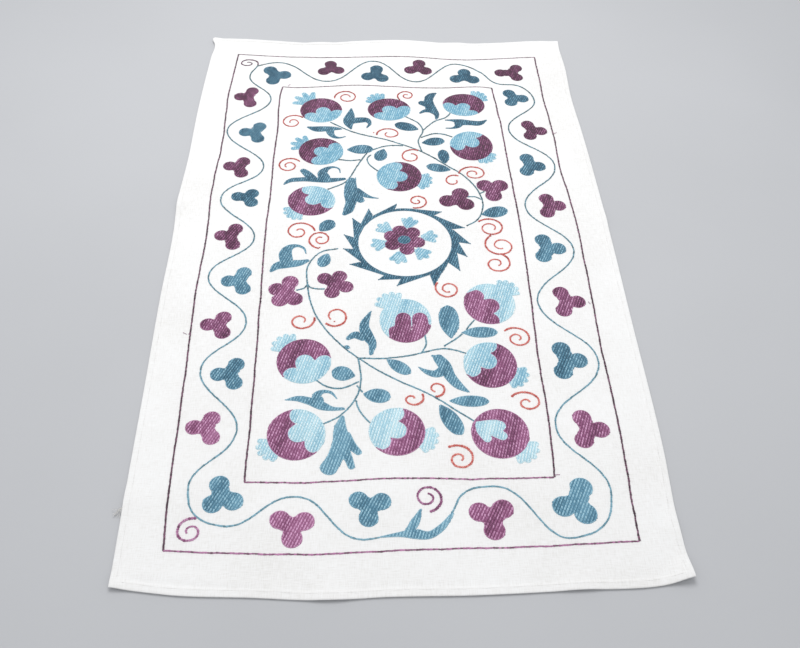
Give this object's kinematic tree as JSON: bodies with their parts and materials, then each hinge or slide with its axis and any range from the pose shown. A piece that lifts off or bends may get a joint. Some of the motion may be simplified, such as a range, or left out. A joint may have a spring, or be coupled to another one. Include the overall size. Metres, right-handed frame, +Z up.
{
  "type": "suzani embroidered textile",
  "caption": "Hemmed cotton cloth laid flat, embroidered with pomegranates, leaves, spirals and a wreath inside a trefoil vine border.",
  "frame": {"origin": "middle of the cloth's bounding box in plan, on the surface the cloth lies on", "axes": "+X to the right and +Y to the far edge as pictured, along the cloth's length; +Z up, out of the embroidered face"},
  "size_m": [0.612, 1.021, 0.0085],
  "materials": {
    "suzani_cloth": "off-white plain-weave cotton with plum, teal, pale aqua and coral cotton thread"
  },
  "bodies": {
    "root": {"suzani_cloth": "suzani_cloth"}
  },
  "joints": []
}
